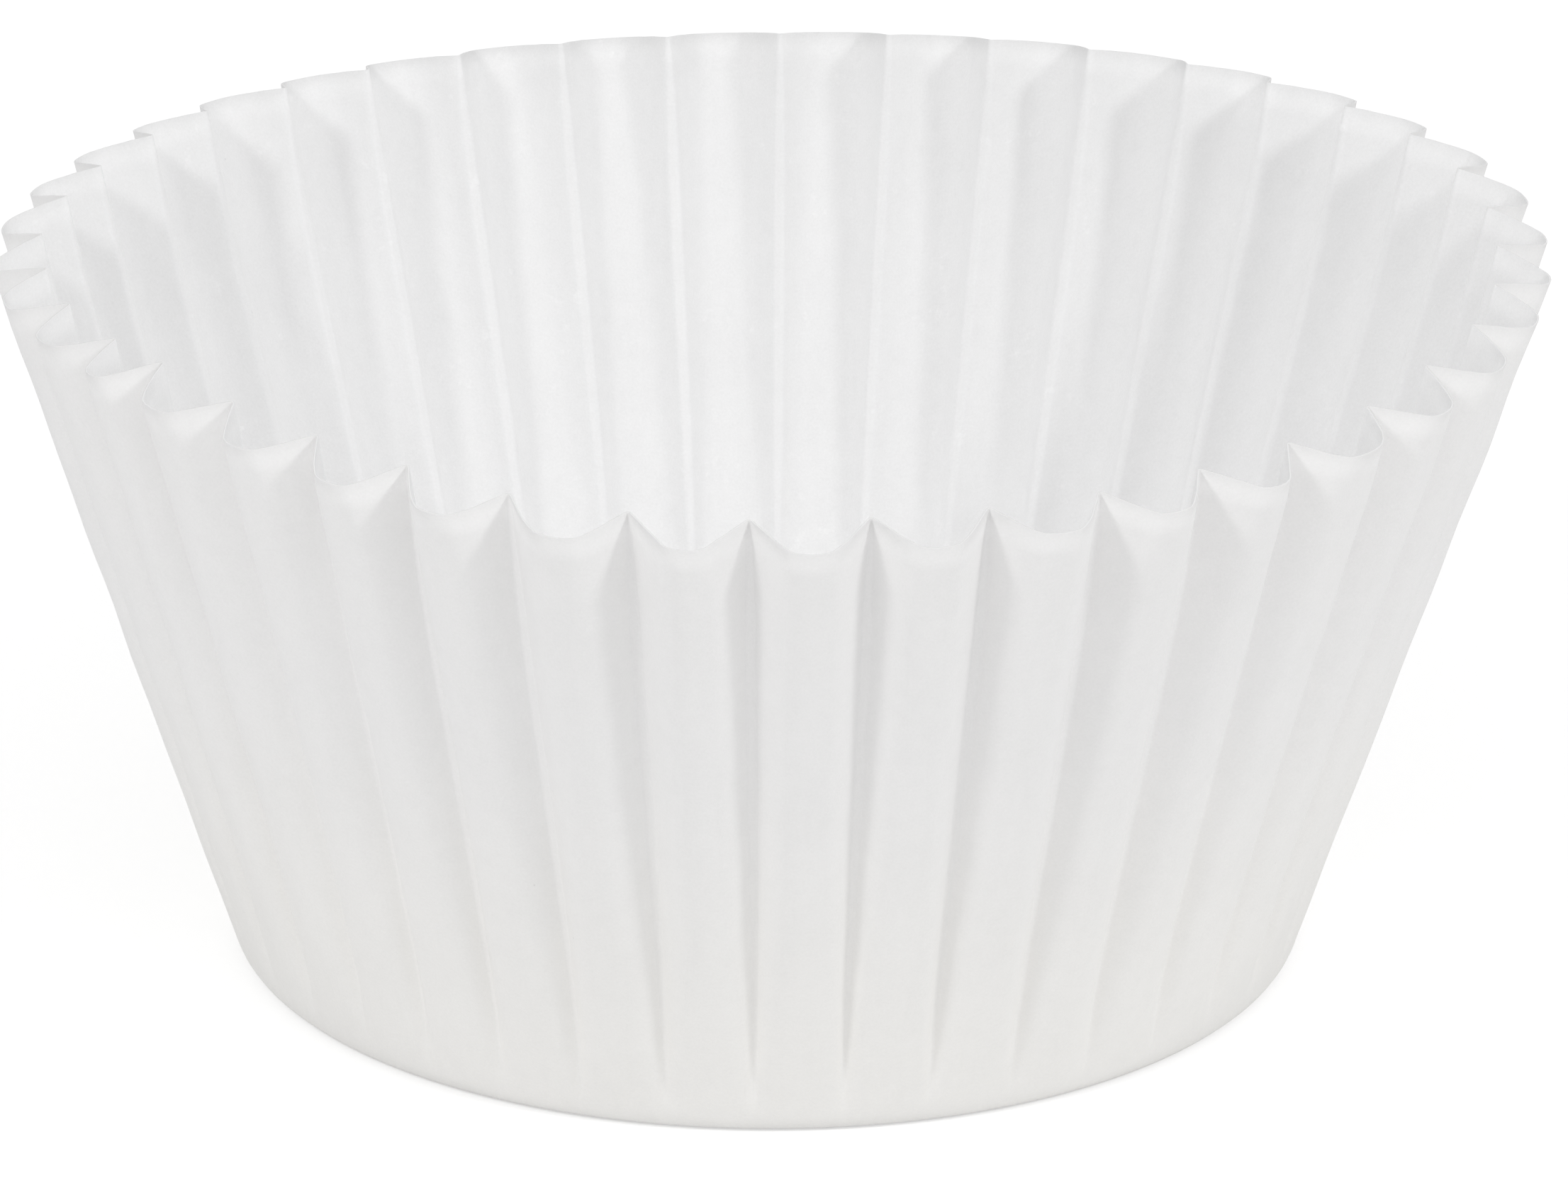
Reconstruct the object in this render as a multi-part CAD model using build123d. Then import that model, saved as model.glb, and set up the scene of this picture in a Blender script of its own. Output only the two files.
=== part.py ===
from build123d import *
import os
from math import cos, pi, radians, sin, sqrt

# Sizes in millimetres. The cup stands on its base with +Z up through its middle.
base_diameter = 50.8
wall_length = 34.9
wall_lean = 18.65
paper_thickness = 0.08
flute_count = 40
folds_per_side = 5

# Flutes at the rim: from valley to crest, and the valley's floor and mouth
rim_flute_depth = 2.4
rim_valley_floor = 0.8
rim_valley_mouth = 0.3

# The same flutes at the knee, low on the wall, from where they flatten faster
knee_length = 9.0
knee_flute_depth = 1.1
knee_valley_floor = 1.0
knee_valley_mouth = 1.2

# The foot, where the folds of a flute run together, and the bend into the flat base
foot_length = 2.2
foot_valley_width = 0.8
bend_inset = 1.4
bend_rows = 3

base_radius = base_diameter / 2
pitch = 2 * pi / flute_count
half_pitch = pitch / 2
lean = radians(wall_lean)
foot_angle = foot_valley_width / 2 / base_radius


def rise(length, run):
    return sqrt(length**2 - run**2)


def knee_point(depth):
    # Radius and height at this depth below the crest line, which is straight up the wall
    radius = base_radius + knee_length * sin(lean) - depth
    return radius, rise(knee_length, radius - base_radius)


def rim_point(depth, knee_depth):
    # A valley line is as long as a crest line and leans less, so it ends higher
    radius = base_radius + wall_length * sin(lean) - depth
    knee_radius, knee_height = knee_point(knee_depth)
    return radius, knee_height + rise(wall_length - knee_length, radius - knee_radius)


def fold_row(valley, crest, floor, mouth):
    # Folds from the valley at angle 0 to the crest beside it, on a curve with four control points
    crest_handle = crest[0] * half_pitch - mouth / 2
    crest_x = crest[0] * cos(half_pitch)
    crest_y = crest[0] * sin(half_pitch)
    handle_x = crest_x + crest_handle * sin(half_pitch)
    handle_y = crest_y - crest_handle * cos(half_pitch)
    xs = (valley[0], valley[0], handle_x, crest_x)
    ys = (0, floor / 2, handle_y, crest_y)
    zs = (valley[1], valley[1], crest[1], crest[1])
    row = []
    for fold in range(folds_per_side):
        u = (fold + 0.5) / folds_per_side
        shares = ((1 - u) ** 3, 3 * u * (1 - u) ** 2, 3 * u**2 * (1 - u), u**3)
        row.append(tuple(sum(s * p for s, p in zip(shares, line)) for line in (xs, ys, zs)))
    return row


def inner_row(row):
    # The same folds on the inside of the paper
    normals = [(1, 0)]
    for start, end in zip(row, row[1:]):
        run_x = end[0] - start[0]
        run_y = end[1] - start[1]
        run = sqrt(run_x**2 + run_y**2)
        normals.append((run_y / run, -run_x / run))
    normals.append((cos(half_pitch), sin(half_pitch)))
    moved = []
    for (x, y, z), first, second in zip(row, normals, normals[1:]):
        move = paper_thickness / (1 + first[0] * second[0] + first[1] * second[1])
        moved.append((x - move * (first[0] + second[0]), y - move * (first[1] + second[1]), z))
    return moved


def bend_point(share, inside):
    # Share 0 is the edge of the flat base and 1 the foot of the flutes
    foot_radius = base_radius + foot_length * sin(lean)
    shares = ((1 - share) ** 2, 2 * share * (1 - share), share**2)
    radius = shares[0] * (base_radius - bend_inset) + shares[1] * base_radius + shares[2] * foot_radius
    height = shares[2] * foot_length * cos(lean)
    if inside:
        radius -= paper_thickness * sin(share * pi / 2)
        height += paper_thickness * cos(share * pi / 2)
    return radius * cos(foot_angle), radius * sin(foot_angle), height


def across_valley(point):
    return point[0], -point[1], point[2]


def across_crest(point):
    x, y, z = across_valley(point)
    return x * cos(pitch) - y * sin(pitch), x * sin(pitch) + y * cos(pitch), z


def flat(*points):
    return Face(Wire.make_polygon([Vector(*point) for point in points]))


def skin(rim, knee, bends):
    # One side of one flute: half of it, the same half mirrored, then the strips in the middle
    foot = bends[-1]
    half = []
    for fold in range(folds_per_side - 1):
        half.append(flat(foot, knee[fold], knee[fold + 1]))
        half.append(flat(knee[fold], knee[fold + 1], rim[fold + 1]))
        half.append(flat(knee[fold], rim[fold + 1], rim[fold]))
    middle = []
    for fold, across in ((0, across_valley), (-1, across_crest)):
        lines = [*bends, knee[fold], rim[fold]]
        for low, high in zip(lines, lines[1:]):
            middle.append(flat(low, across(low), across(high), high))
    return half + [face.mirror(Plane.XZ) for face in half] + middle


rim_valley = rim_point(rim_flute_depth, knee_flute_depth)
outer_rim = fold_row(rim_valley, rim_point(0, 0), rim_valley_floor, rim_valley_mouth)
knee_valley = knee_point(knee_flute_depth)
outer_knee = fold_row(knee_valley, knee_point(0), knee_valley_floor, knee_valley_mouth)
outer_bends = [bend_point(row / bend_rows, False) for row in range(bend_rows + 1)]
inner_rim = inner_row(outer_rim)
inner_knee = inner_row(outer_knee)
inner_bends = [bend_point(row / bend_rows, True) for row in range(bend_rows + 1)]

# The cut edge of the paper along the rim
half_edge = []
for fold in range(folds_per_side - 1):
    half_edge.append(flat(outer_rim[fold], outer_rim[fold + 1], inner_rim[fold + 1]))
    half_edge.append(flat(outer_rim[fold], inner_rim[fold + 1], inner_rim[fold]))
cut_edge = half_edge + [face.mirror(Plane.XZ) for face in half_edge]
for fold, across in ((0, across_valley), (-1, across_crest)):
    outer = outer_rim[fold]
    inner = inner_rim[fold]
    cut_edge.append(flat(outer, across(outer), across(inner), inner))

flute = skin(outer_rim, outer_knee, outer_bends) + skin(inner_rim, inner_knee, inner_bends)
flute += cut_edge
faces = []
for place in range(flute_count):
    turn = Rot(0, 0, place * 360 / flute_count)
    faces += [turn * face for face in flute]

# The flat base closes the sheet below and above
for edge_point in (outer_bends[0], inner_bends[0]):
    radius = sqrt(edge_point[0] ** 2 + edge_point[1] ** 2)
    corners = []
    for place in range(flute_count):
        for angle in (place * pitch - foot_angle, place * pitch + foot_angle):
            corners.append((radius * cos(angle), radius * sin(angle), edge_point[2]))
    faces.append(flat(*corners))

baking_cup = Solid(Shell(faces))
baking_cup.label = "baking_cup"

os.makedirs("parts", exist_ok=True)
export_step(baking_cup, "parts/baking_cup.step")
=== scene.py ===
import bpy
import numpy as np
from mathutils import Matrix, Vector


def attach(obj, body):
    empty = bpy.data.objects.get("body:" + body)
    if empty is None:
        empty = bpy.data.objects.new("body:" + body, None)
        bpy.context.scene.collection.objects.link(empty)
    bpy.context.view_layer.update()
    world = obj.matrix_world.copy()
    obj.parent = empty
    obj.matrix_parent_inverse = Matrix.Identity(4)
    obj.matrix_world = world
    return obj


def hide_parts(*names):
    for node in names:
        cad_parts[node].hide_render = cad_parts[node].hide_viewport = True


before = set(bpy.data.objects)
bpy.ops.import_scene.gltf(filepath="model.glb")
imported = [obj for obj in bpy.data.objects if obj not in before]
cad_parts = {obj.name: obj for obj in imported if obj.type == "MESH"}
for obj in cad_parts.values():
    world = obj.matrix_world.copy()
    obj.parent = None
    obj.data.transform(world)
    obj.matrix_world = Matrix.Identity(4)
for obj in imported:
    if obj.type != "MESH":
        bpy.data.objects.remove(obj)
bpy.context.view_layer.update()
mm = 0.001

# The cup's one sheet of paper, in millimetres and degrees
sheet = dict(
    baseRadius=25.4,
    wallLength=34.9,
    lean=18.65,  # of the crests, out from upright
    thickness=0.08,
    bendInset=0.7,  # the bend starts this far in from the base's corner
    bendLength=0.9,  # and ends this far up the wall
    flutes=40,
    seed=7,
    # One flute, as (paper length up the wall, size): its depth, how far its floor and its flank reach
    # from the middle of a valley, how far the crest bulges past its flanks, and how softly it turns there
    depth=[(0, 0), (0.9, 0), (2.2, 0.16), (3.6, 0.4), (5.5, 0.66), (10.5, 1.02), (19, 1.4), (27.5, 1.78),
           (34.9, 2.45)],
    floor=[(0, 0.05), (5, 0.08), (10.5, 0.14), (19, 0.2), (27.5, 0.22), (33, 0.13), (34.9, 0.05)],
    flank=[(0, 0.5), (5, 0.6), (10.5, 0.7), (19, 0.84), (27.5, 0.95), (33, 1.15), (34.9, 1.42)],
    bulge=[(0, 0), (3, 0.05), (10.5, 0.32), (19, 0.6), (29, 0.75), (34.9, 0.68)],
    crestTurn=[(0, 0.3), (10.5, 0.4), (19, 0.5), (29, 0.65), (34.9, 1)],
    floorTurn=0.1,
    leastDepth=0.01,  # shares of a flute's depth are taken of at least this
    # The most that a rounded fold takes of the floor, the flank and the crest, and a bulge of the depth
    floorLimit=0.9,
    flankLimit=0.47,
    crestLimit=0.6,
    bulgeLimit=0.5,
    # How flutes differ, as shares of depth, bulge and width, and slow waves in their panels
    depthSpread=0.05,
    bulgeSpread=0.2,
    skewSpread=0.03,
    wave=0.02,
    waveCount=4,
    wavePitch=(5, 14),
    waveRise=3,  # the waves have their full height a third of the way up
    # How the rim strays from a true circle, as waves: how many go round, their size, and where one peaks
    rimOutward=[(0, 0.1, 0), (1, 0.21, 142), (2, 0.31, 28), (3, 0.33, -21), (4, 0.3, 10), (5, 0.3, -17)],
    rimUpward=[(0, 0.5, 0), (1, 0.04, 59), (2, 0.66, -72), (3, 0.1, -18)],
    rimPhase=-1.05,
    rimGrowth=1.6,  # the power by which this grows up the wall
    # How far each valley has turned from its even place at the rim
    valleyTurns=[
        -0.3, -0.3, -0.3, -0.3, -0.4, -0.7, -0.1, 0.2, 0.6, 0.3,
        -0.4, -0.5, 0.1, 0.5, 0.2, -0.1, -0.5, -0.2, 0, 0,
        0.2, 0.4, 0.2, 0.2, -0.1, -0.1, 0.3, -0.1, 0.3, -0.4,
        0.2, 0.1, 0.3, 0.8, -1.2, -0.2, 0.1, -0.2, -0.4, -0.2,
    ],
    turnGrowth=1.3,
    # How finely the sheet is drawn
    baseRings=(0.04, 0.3, 0.6, 0.85),  # shares of the flat base's radius
    bendRows=5,
    closeRows=10,
    closeTo=6,  # rows are closer together up to here, where the flutes start
    wallRows=22,
    foldSteps=(0, 0.33, 0.67, 1),
    crestSteps=(0.3, 0.65, 1),
)

rng = np.random.default_rng(sheet["seed"])
lean = np.radians(sheet["lean"])
flutes = sheet["flutes"]
evenAngle = 2 * np.pi / flutes
# Points across half a flute: the valley's middle, its fold, the flank's middle, the crest's fold and the
# crest. The two ends are shared with the halves beside it, so they count as one
columnsPerFlute = 2 * (1 + 2 * len(sheet["foldSteps"]) + len(sheet["crestSteps"]))
columnCount = columnsPerFlute * flutes
# Paper lengths up the wall from the corner of the base
lengths = np.append(np.linspace(sheet["bendLength"], sheet["closeTo"], sheet["closeRows"] + 1),
                    np.linspace(sheet["closeTo"], sheet["wallLength"], sheet["wallRows"] + 1)[1:])
upShare = lengths / sheet["wallLength"]


def smoothCurve(points, where):
    # Through the listed (place, value) points, with no overshoot between them
    at, values = np.array(points, float).T
    slope = np.diff(values) / np.diff(at)
    before, after = slope[:-1], slope[1:]
    tangent = np.zeros_like(values)
    tangent[0], tangent[-1] = slope[0], slope[-1]
    onward = before * after > 0
    tangent[1:-1][onward] = 2 * (before * after)[onward] / (before + after)[onward]
    left = np.clip(np.searchsorted(at, where) - 1, 0, len(at) - 2)
    span = at[left + 1] - at[left]
    along = (where - at[left]) / span
    rise = 3 * along**2 - 2 * along**3
    return ((1 - rise) * values[left] + rise * values[left + 1]
            + (along**3 - 2 * along**2 + along) * span * tangent[left]
            + (along**3 - along**2) * span * tangent[left + 1])


def bend(first, corner, last, along):
    return first * (1 - along) ** 2 + corner * 2 * along * (1 - along) + last * along**2


def roundedFold(corner, before, after, size):
    first, last = corner - before * size, corner + after * size
    return [bend(first, corner, last, along) for along in sheet["foldSteps"]]


def halfSection(depth, floor, flank, crest, bulge, turn):
    # (across, depth) from the middle of a valley to the middle of a crest
    low, high = np.array([floor, depth]), np.array([flank, bulge])
    handle, top = np.array([(flank + crest) / 2, 0]), np.array([crest, 0])
    flankLength, crestLength = np.hypot(*(high - low)), np.hypot(*(handle - high))
    level, upFlank, overCrest = np.array([1, 0]), (high - low) / flankLength, (handle - high) / crestLength
    floorTurn = min(sheet["floorTurn"], floor * sheet["floorLimit"])
    crestTurn = min(turn, flankLength * sheet["flankLimit"], crestLength * sheet["crestLimit"])
    crestFold = roundedFold(high, upFlank, overCrest, crestTurn)
    crestLine = [bend(crestFold[-1], handle, top, along) for along in sheet["crestSteps"]]
    floorFold = roundedFold(low, level, upFlank, floorTurn)
    return np.array([(0, depth), *floorFold, (low + high) / 2, *crestFold, *crestLine])


profileNames = ("depth", "floor", "flank", "bulge", "crestTurn")
profile = {name: smoothCurve(sheet[name], lengths) for name in profileNames}
depthFactor = 1 + sheet["depthSpread"] * rng.standard_normal(flutes)
bulgeFactor = 1 + sheet["bulgeSpread"] * rng.standard_normal(flutes)
skew = sheet["skewSpread"] * rng.standard_normal(flutes)
turnWeight = upShare ** sheet["turnGrowth"]


def wholeFlute(row, flute, width, crestRadius):
    # From one valley to the next: shares of the flute's width, and depths
    size = {name: values[row] for name, values in profile.items()}
    middle = 0.5 + skew[flute] * turnWeight[row]
    halves = []
    for valley, part in ((flute, middle), ((flute + 1) % flutes, 1 - middle)):
        depth = size["depth"] * depthFactor[valley]
        bulge = min(size["bulge"] * bulgeFactor[flute], depth * sheet["bulgeLimit"])
        flank = size["flank"] * min(1, 2 * width * part / evenAngle)  # less in a narrow half
        crest = crestRadius * width * part
        half = halfSection(depth, size["floor"], flank, crest, bulge, size["crestTurn"])
        halves.append((half[:, 0] / half[-1, 0] * part, half[:, 1]))
    (nearShare, nearDepth), (farShare, farDepth) = halves
    return np.append(nearShare[:-1], 1 - farShare[:0:-1]), np.append(nearDepth[:-1], farDepth[:0:-1])


def flutedWall():
    # Angle, depth and radius of every point, row by row up the paper
    angle, depth = np.zeros((2, len(lengths), columnCount))
    crestRadius = sheet["baseRadius"] + lengths * np.sin(lean)
    even = np.arange(flutes + 1) * evenAngle
    turns = np.radians(sheet["valleyTurns"] + sheet["valleyTurns"][:1])
    for row in range(len(lengths)):
        valley = even + turns * turnWeight[row]
        for flute in range(flutes):
            width = valley[flute + 1] - valley[flute]
            share, inset = wholeFlute(row, flute, width, crestRadius[row])
            columns = slice(flute * columnsPerFlute, (flute + 1) * columnsPerFlute)
            angle[row, columns] = valley[flute] + share * width
            depth[row, columns] = inset
    return angle, depth, crestRadius[:, None] - depth


def wallHeight(radius):
    # Each line up the wall keeps its paper length, so a deeper line stands steeper and ends higher
    foot = np.full((1, columnCount), lengths[0] * np.cos(lean))
    rise = np.sqrt(np.diff(lengths)[:, None] ** 2 - np.diff(radius, axis=0) ** 2)
    return np.cumsum(np.append(foot, rise, axis=0), axis=0)


def rimWaves(waves, angle):
    waved = sum(size * np.cos(count * (angle - np.radians(peak))) for count, size, peak in waves)
    return waved * upShare[:, None] ** sheet["rimGrowth"]


def panelWaves():
    # Different in each flute, and none in its valleys
    fluteOf = np.arange(columnCount) // columnsPerFlute
    across = np.tile(np.linspace(0, 2 * np.pi, columnsPerFlute, endpoint=False), flutes)
    shortest, longest = sheet["wavePitch"]
    waves = np.zeros((len(lengths), columnCount))
    for count in range(sheet["waveCount"]):
        pitch = shortest + (longest - shortest) * rng.random(flutes)
        start = 2 * np.pi * rng.random(flutes)
        sway = 2 * np.pi * rng.random(flutes)
        upward = 2 * np.pi * lengths[:, None] / pitch[fluteOf] + start[fluteOf]
        waves += np.sin(upward + np.sin(across + sway[fluteOf])) * np.sin(across / 2) ** 2
    return sheet["wave"] * waves * np.minimum(1, upShare[:, None] * sheet["waveRise"])


def baseRows():
    # (radius, height) of the rings of the flat base, then of the bend into the wall
    flatRadius = sheet["baseRadius"] - sheet["bendInset"]
    footRadius = sheet["baseRadius"] + sheet["bendLength"] * np.sin(lean)
    footHeight = sheet["bendLength"] * np.cos(lean)
    rows = [(share * flatRadius, 0) for share in sheet["baseRings"]]
    for along in np.arange(sheet["bendRows"]) / sheet["bendRows"]:
        ringRadius = bend(flatRadius, sheet["baseRadius"], footRadius, along)
        rows.append((ringRadius, bend(0, 0, footHeight, along)))
    return np.array(rows)


wallAngle, wallDepth, wallRadius = flutedWall()
rimAngle = wallAngle + np.radians(sheet["rimPhase"])
rimOut = rimWaves(sheet["rimOutward"], rimAngle)
rimUp = rimWaves(sheet["rimUpward"], rimAngle) - np.tan(lean) * rimOut
lowRadius, lowHeight = np.repeat(baseRows().T[:, :, None], columnCount, axis=2)
radius = np.append(lowRadius, wallRadius + rimOut + panelWaves(), axis=0)
height = np.append(lowHeight, wallHeight(wallRadius) + rimUp, axis=0)
angle = np.append(np.tile(wallAngle[0], (len(lowRadius), 1)), wallAngle, axis=0)
outer = np.stack([radius * np.sin(angle), -radius * np.cos(angle), height], -1)
rowCount = len(outer)
print("rows", rowCount, "columns", columnCount, "highest", round(float(outer[..., 2].max()), 2),
      "widest", round(float(radius.max()), 2))


def innerSide():
    # One thickness of paper away from the outside, inwards and up
    flatRows = len(sheet["baseRings"]) + 1
    around = np.roll(outer, -1, axis=1) - np.roll(outer, 1, axis=1)
    normal = np.cross(around, np.gradient(outer, axis=0))
    normal /= np.linalg.norm(normal, axis=-1, keepdims=True)
    normal[:flatRows] = (0, 0, -1)  # the base
    return outer - sheet["thickness"] * normal


def sheetFaces():
    # Outside, inside, the cut edge at the rim, then the middle of the base from below and from above
    column = np.arange(columnCount)
    after = np.roll(column, -1)
    row = np.arange(rowCount - 1)[:, None] * columnCount
    above = row + columnCount
    grid = np.stack([row + column, row + after, above + after, above + column], -1).reshape(-1, 4)
    inside = rowCount * columnCount
    rim = inside - columnCount
    edge = np.stack([rim + column, rim + after, inside + rim + after, inside + rim + column], -1)
    centre = np.full(columnCount, 2 * inside)
    below = np.stack([centre, after, column], -1)
    onTop = np.stack([centre + 1, inside + column, inside + after], -1)
    return np.concatenate([grid, grid[:, ::-1] + inside, edge]).tolist() + below.tolist() + onTop.tolist()


centres = [(0, 0, 0), (0, 0, sheet["thickness"])]
points = np.concatenate([outer.reshape(-1, 3), innerSide().reshape(-1, 3), centres])
faces = sheetFaces()
mesh = bpy.data.meshes.new("bakingCupSheet")
mesh.from_pydata((points * mm).tolist(), [], faces)
mesh.update()
mesh.shade_smooth()
cup = bpy.data.objects.new("bakingCup", mesh)
bpy.context.collection.objects.link(cup)
print("triangles", sum(len(face) - 2 for face in faces))

# The paper: near-white and uneven in how the fibres settled, with painted warm bounce light low on its
# outside and a painted highlight along the ridge tips inside. A mark's value is how much lighter or darker
# it is, and a grain is its scale per millimetre, detail and roughness
paper = dict(
    inside=(0.946, 0.945, 0.946),
    outside=(0.938, 0.9335, 0.931),
    # Painted warm bounce light from the floor: the outside is lighter and warmer low down
    outsideBounceLight=(0.955, 0.946, 0.927),
    lowToHigh=(0.05, 0.7),  # where the painted warm bounce light ends, as shares of the way up
    cloud=0.036,
    cloudGrain=(0.22, 2, 0.55),
    mottle=0.066,
    mottleGrain=(1.1, 4, 0.6),
    fibre=0.12,
    fibreGrain=(7, 3, 0.65),
    streak=0.03,
    streakGrain=(2.2, 3, 0.55),
    streakRadius=32,  # streaks lie on a tube, drawn out along it
    streakStretch=0.1,
    outsideDetail=0.7,
    # A painted highlight along the ridge tips inside: how much lighter, from what share of the flute's
    # depth, and where up the wall it comes in
    ridgeHighlight=0.02,
    ridgeHighlightFrom=0.86,  # share of the flute's depth
    ridgeHighlightUp=(0.15, 0.35),
    scuff=0.05,
    scuffOutside=0.3,
    scuffPatch=(0.3, 2, 0.55),
    scuffPatchFrom=(0.54, 0.7),
    scuffGrain=(1.7, 3, 0.6),
    scuffGrainFrom=(0.52, 0.7),
    speck=0.12,
    speckGrain=0.3,
    speckEdge=(0.008, 0.022),
    speckFrom=(0.8, 0.81),  # one cell in five has a speck
    roughness=0.78,
    roughSpread=0.06,
    roughGrain=(3, 2, 0.55),
    roughFrom=(0.3, 0.7),
    tooth=0.25,
    toothHeight=0.08,
    toothGrain=(5, 5, 0.7),
    specular=0.25,
    sheen=0.05,
    sheenRoughness=0.6,
    insideShift=(300, 0, 40),  # the two sides have different marks
)


def bothSides(grid, centre, shift=(0, 0, 0)):
    # Outside, inside and the two middles of the base, with what is inside moved by the shift
    outside = grid.reshape(-1, 3)
    return np.concatenate([outside, outside + shift, [centre, np.add(centre, shift)]])


def addPlaces(name, values):
    layer = mesh.attributes.new(name, "FLOAT_VECTOR", "POINT")
    layer.data.foreach_set("vector", np.ascontiguousarray(values, np.float32).ravel())


def markPaper():
    # Where each point lay on the flat round blank, the same drawn out for streaks that run up the flutes,
    # and its place in the cup: the way up, the share of the flute's depth, and which side
    wallPaper = np.repeat(lengths[:, None], columnCount, axis=1)
    paperLength = np.append(lowRadius - sheet["baseRadius"], wallPaper, axis=0)
    step = np.linalg.norm(np.roll(outer, -1, axis=1) - outer, axis=-1)
    step = step.reshape(rowCount, flutes, columnsPerFlute)
    across = (np.cumsum(step, axis=2) - step) / step.sum(axis=2, keepdims=True)
    blankAngle = ((np.arange(flutes)[:, None] + across) * evenAngle).reshape(rowCount, columnCount)
    east, south = np.sin(blankAngle), -np.cos(blankAngle)
    flat = np.zeros_like(blankAngle)
    blankRadius = sheet["baseRadius"] + paperLength
    blank = np.stack([blankRadius * east, blankRadius * south, flat], -1)
    addPlaces("blank", bothSides(blank, (0, 0, 0), paper["insideShift"]))
    tube = np.stack([paper["streakRadius"] * east, paper["streakRadius"] * south,
                     paper["streakStretch"] * paperLength], -1)
    addPlaces("streak", bothSides(tube, (0, 0, 0)))
    fullDepth = np.maximum(profile["depth"], sheet["leastDepth"])[:, None]
    depthShare = np.append(np.zeros_like(lowRadius), wallDepth / fullDepth, axis=0)
    place = np.stack([paperLength / sheet["wallLength"], depthShare, flat], -1)
    addPlaces("place", bothSides(place, (-sheet["baseRadius"] / sheet["wallLength"], 0, 0), (0, 0, 1)))


class Nodes:
    def __init__(self, owner):
        owner.use_nodes = True
        self.tree = owner.node_tree
        self.tree.nodes.clear()

    def add(self, kind, inputs=(), **settings):
        node = self.tree.nodes.new(kind)
        for name, value in settings.items():
            setattr(node, name, value)
        for name, value in dict(inputs).items():
            if isinstance(value, bpy.types.NodeSocket):
                self.tree.links.new(value, node.inputs[name])
            else:
                node.inputs[name].default_value = value
        return node

    def maths(self, operation, first, second=0.0):
        return self.add("ShaderNodeMath", {0: first, 1: second}, operation=operation).outputs[0]

    def attribute(self, name):
        return self.add("ShaderNodeAttribute", attribute_name=name).outputs["Vector"]

    def noise(self, vector, grain):
        scale, detail, rough = grain
        inputs = {"Vector": vector, "Scale": scale, "Detail": detail, "Roughness": rough}
        return self.add("ShaderNodeTexNoise", inputs).outputs["Fac"]

    def ramp(self, value, ends, first=0.0, last=1.0):
        inputs = {"Value": value, "From Min": ends[0], "From Max": ends[1], "To Min": first, "To Max": last}
        return self.add("ShaderNodeMapRange", inputs, interpolation_type="SMOOTHSTEP").outputs["Result"]

    def blend(self, factor, first, second):
        # Two colours, each a socket or three numbers, which are the node's inputs 6 and 7
        inputs = {0: factor}
        for place, value in ((6, first), (7, second)):
            inputs[place] = value + (1,) if isinstance(value, tuple) else value
        return self.add("ShaderNodeMix", inputs, data_type="RGBA").outputs[2]

    def whenSeen(self):
        # 1 where the camera, a mirror or glass shows it, 0 where it only gives light
        path = self.add("ShaderNodeLightPath").outputs
        mirrored = self.maths("MAXIMUM", path["Is Glossy Ray"], path["Is Transmission Ray"])
        return self.maths("MAXIMUM", path["Is Camera Ray"], mirrored)


def paperTone(nodes, blank, up, depth, inside):
    # Lighter and darker than 1: clouds, mottle, fibres and streaks, then a painted highlight along the
    # ridge tips inside, scuffs and specks
    streaks = nodes.attribute("streak")
    tone = 0.0
    for name, vector in (("cloud", blank), ("mottle", blank), ("fibre", blank), ("streak", streaks)):
        mark = nodes.maths("SUBTRACT", nodes.noise(vector, paper[name + "Grain"]), 0.5)
        tone = nodes.maths("ADD", nodes.maths("MULTIPLY", mark, paper[name]), tone)
    detail = nodes.ramp(inside, (0, 1), paper["outsideDetail"], 1.0)
    tone = nodes.maths("ADD", nodes.maths("MULTIPLY", tone, detail), 1.0)
    # Painted highlight along the ridge tips, only on the inside, coming in from low on the wall
    ridgeHighlight = nodes.maths("MULTIPLY", nodes.ramp(depth, (paper["ridgeHighlightFrom"], 1)),
                         nodes.ramp(up, paper["ridgeHighlightUp"], 0.0, paper["ridgeHighlight"]))
    tone = nodes.maths("ADD", tone, nodes.maths("MULTIPLY", ridgeHighlight, inside))
    patch = nodes.ramp(nodes.noise(blank, paper["scuffPatch"]), paper["scuffPatchFrom"])
    scuff = nodes.ramp(nodes.noise(blank, paper["scuffGrain"]), paper["scuffGrainFrom"])
    scuff = nodes.maths("MULTIPLY", patch, scuff)
    scuff = nodes.maths("MULTIPLY", scuff, nodes.ramp(inside, (0, 1), paper["scuffOutside"], 1.0))
    tone = nodes.maths("ADD", tone, nodes.maths("MULTIPLY", scuff, paper["scuff"]))
    cells = nodes.add("ShaderNodeTexVoronoi", {"Vector": blank, "Scale": paper["speckGrain"]}).outputs
    chosen = nodes.add("ShaderNodeSeparateColor", {"Color": cells["Color"]}).outputs[0]
    speck = nodes.maths("MULTIPLY", nodes.ramp(cells["Distance"], paper["speckEdge"], paper["speck"], 0.0),
                        nodes.ramp(chosen, paper["speckFrom"]))
    return nodes.maths("SUBTRACT", tone, speck)


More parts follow.
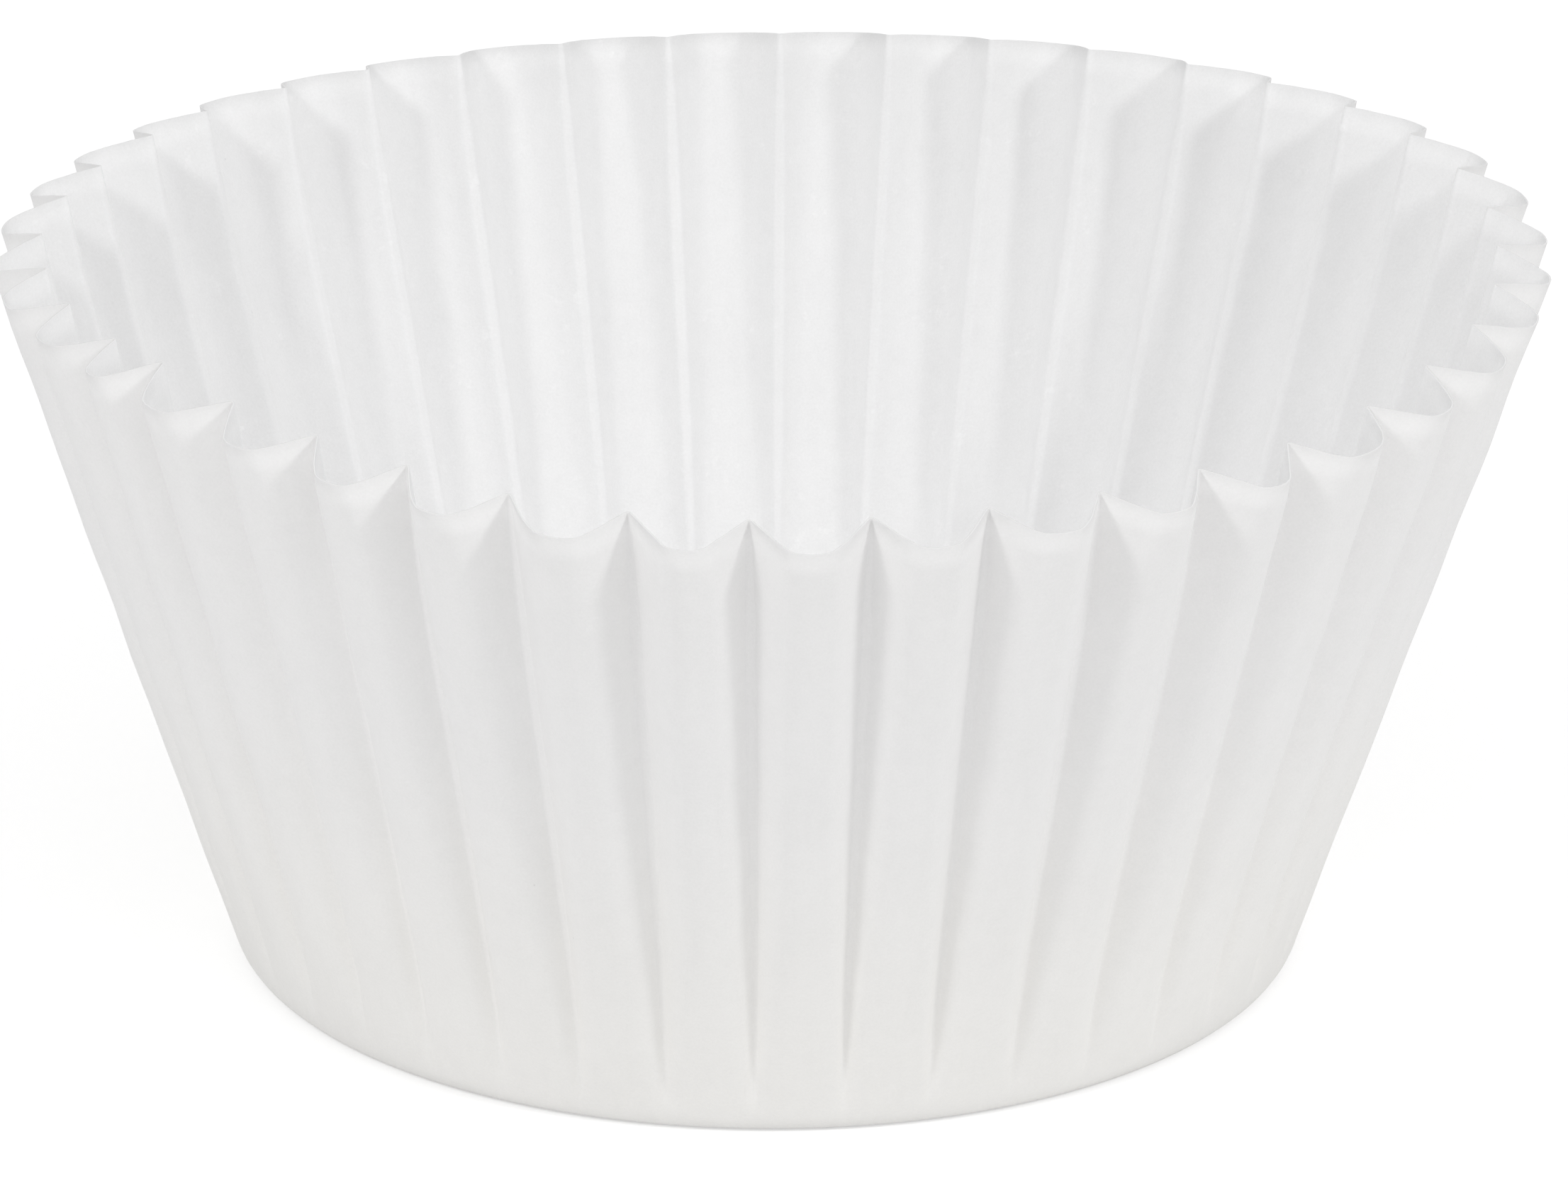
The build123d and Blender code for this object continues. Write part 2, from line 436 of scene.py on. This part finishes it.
def paperMaterial():
    material = bpy.data.materials.new("paper")
    nodes = Nodes(material)
    blank = nodes.attribute("blank")
    place = nodes.add("ShaderNodeSeparateXYZ", {"Vector": nodes.attribute("place")}).outputs
    up, depth, inside = place["X"], place["Y"], place["Z"]
    # Painted warm bounce light from the floor, lighter and warmer low on the outside, blended into its
    # colour
    outside = nodes.blend(nodes.ramp(up, paper["lowToHigh"]), paper["outsideBounceLight"], paper["outside"])
    plain = nodes.blend(inside, outside, paper["inside"])
    tone = paperTone(nodes, blank, up, depth, inside)
    rough = nodes.ramp(nodes.noise(blank, paper["roughGrain"]), paper["roughFrom"],
                       paper["roughness"] - paper["roughSpread"], paper["roughness"] + paper["roughSpread"])
    tooth = nodes.add("ShaderNodeBump", {
        "Height": nodes.noise(blank, paper["toothGrain"]),
        "Strength": paper["tooth"],
        "Distance": paper["toothHeight"] * mm,
    })
    shader = nodes.add("ShaderNodeBsdfPrincipled", {
        "Base Color": nodes.add("ShaderNodeVectorMath", {0: plain, 3: tone}, operation="SCALE").outputs[0],
        "Roughness": rough,
        "Normal": tooth.outputs["Normal"],
        "Specular IOR Level": paper["specular"],
        "Sheen Weight": paper["sheen"],
        "Sheen Roughness": paper["sheenRoughness"],
    })
    nodes.add("ShaderNodeOutputMaterial", {"Surface": shader.outputs["BSDF"]})
    return material


markPaper()
mesh.materials.append(paperMaterial())
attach(cup, "root")
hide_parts("baking_cup")
print("cup in place")

# Floor and light: distances in metres, lamps in watts, with their turn from the front and height in degrees
studio = dict(
    floor=0.78,
    floorSize=6,
    floorGlow=0.083,
    floorLift=0.31,
    sky=0.58,
    overhead=0.2,
    overheadFocus=1.5,
    fromRight=0.03,
    fromFront=0.055,
    lampSize=0.2,
    lampDistance=1.2,
    leftLamp=2.25,
    leftTurn=-42,
    leftHeight=42,
    rightLamp=2.25,
    rightTurn=56,
    rightHeight=39,
)


def floorMaterial():
    # A pale floor that shows the shadow, lifted towards white where it is seen
    material = bpy.data.materials.new("floor")
    nodes = Nodes(material)
    shader = nodes.add("ShaderNodeBsdfDiffuse", {"Color": (studio["floor"],) * 3 + (1,)})
    lift = nodes.maths("MULTIPLY", nodes.whenSeen(), studio["floorLift"])
    glow = nodes.add("ShaderNodeEmission", {"Strength": nodes.maths("ADD", lift, studio["floorGlow"])})
    both = nodes.add("ShaderNodeAddShader", {0: shader.outputs["BSDF"], 1: glow.outputs["Emission"]})
    nodes.add("ShaderNodeOutputMaterial", {"Surface": both.outputs["Shader"]})
    return material


def whiteRoom():
    # A white room that is lighter overhead, and plain white where it is seen
    world = bpy.data.worlds.new("studio")
    bpy.context.scene.world = world
    nodes = Nodes(world)
    towards = nodes.add("ShaderNodeTexCoord").outputs["Generated"]
    towards = nodes.add("ShaderNodeSeparateXYZ", {"Vector": towards}).outputs
    overhead = nodes.maths("POWER", nodes.maths("MAXIMUM", towards["Z"], 0.0), studio["overheadFocus"])
    level = nodes.maths("ADD", nodes.maths("MULTIPLY", overhead, studio["overhead"]), studio["sky"])
    level = nodes.maths("ADD", level, nodes.maths("MULTIPLY", towards["X"], studio["fromRight"]))
    level = nodes.maths("SUBTRACT", level, nodes.maths("MULTIPLY", towards["Y"], studio["fromFront"]))
    strength = nodes.add("ShaderNodeMix", {0: nodes.whenSeen(), 2: level, 3: 1.0}).outputs[0]
    background = nodes.add("ShaderNodeBackground", {"Color": (1, 1, 1, 1), "Strength": strength})
    nodes.add("ShaderNodeOutputWorld", {"Surface": background.outputs["Background"]})


def addLamp(side):
    lamp = bpy.data.lights.new(side + "Lamp", "AREA")
    lamp.energy = studio[side + "Lamp"]
    lamp.shape = "DISK"
    lamp.size = studio["lampSize"]
    holder = bpy.data.objects.new(side + "Lamp", lamp)
    bpy.context.collection.objects.link(holder)
    up, turn = np.radians(studio[side + "Height"]), np.radians(studio[side + "Turn"])
    fromLamp = Vector((np.sin(turn) * np.cos(up), -np.cos(turn) * np.cos(up), np.sin(up)))
    holder.location = fromLamp * studio["lampDistance"]
    holder.rotation_euler = fromLamp.to_track_quat("Z", "Y").to_euler()


bpy.ops.mesh.primitive_plane_add(size=studio["floorSize"], location=(0, 0, 0))
floor = bpy.context.object
floor.name = "floor"
floor.data.materials.append(floorMaterial())
whiteRoom()
addLamp("left")
addLamp("right")

# The photo's viewpoint, in millimetres and degrees
view = dict(
    distance=521.4,
    elevation=21.11,
    turn=1.05,
    aimRight=0.79,
    aimHeight=16.93,
    roll=0.25,
    lens=251.22,
    sensor=36,
    nearest=50,
    farthest=20000,
)


def placeCamera():
    data = bpy.data.cameras.new("camera")
    data.sensor_fit = "HORIZONTAL"
    data.sensor_width = view["sensor"]
    data.lens = view["lens"]
    data.clip_start = view["nearest"] * mm
    data.clip_end = view["farthest"] * mm
    data.dof.use_dof = False
    camera = bpy.data.objects.new("camera", data)
    bpy.context.collection.objects.link(camera)
    up, roll = np.radians(view["elevation"]), np.radians(view["roll"])
    turned = Matrix.Rotation(np.radians(view["turn"]), 3, "Z")
    back, rise = view["distance"] * np.cos(up), view["distance"] * np.sin(up)
    eye = turned @ Vector((0, -back, rise + view["aimHeight"]))
    target = turned @ Vector((view["aimRight"], 0, view["aimHeight"]))
    forward = (target - eye).normalized()
    right = forward.cross(Vector((0, 0, 1))).normalized()
    above = right.cross(forward)
    rolledRight = right * np.cos(roll) + above * np.sin(roll)
    rolledUp = above * np.cos(roll) - right * np.sin(roll)
    axes = Matrix((rolledRight, rolledUp, -forward)).transposed()
    camera.matrix_world = Matrix.Translation(eye * mm) @ axes.to_4x4()
    bpy.context.scene.camera = camera


placeCamera()
bpy.context.scene.view_settings.view_transform = "Standard"
print("stage, light and camera set")
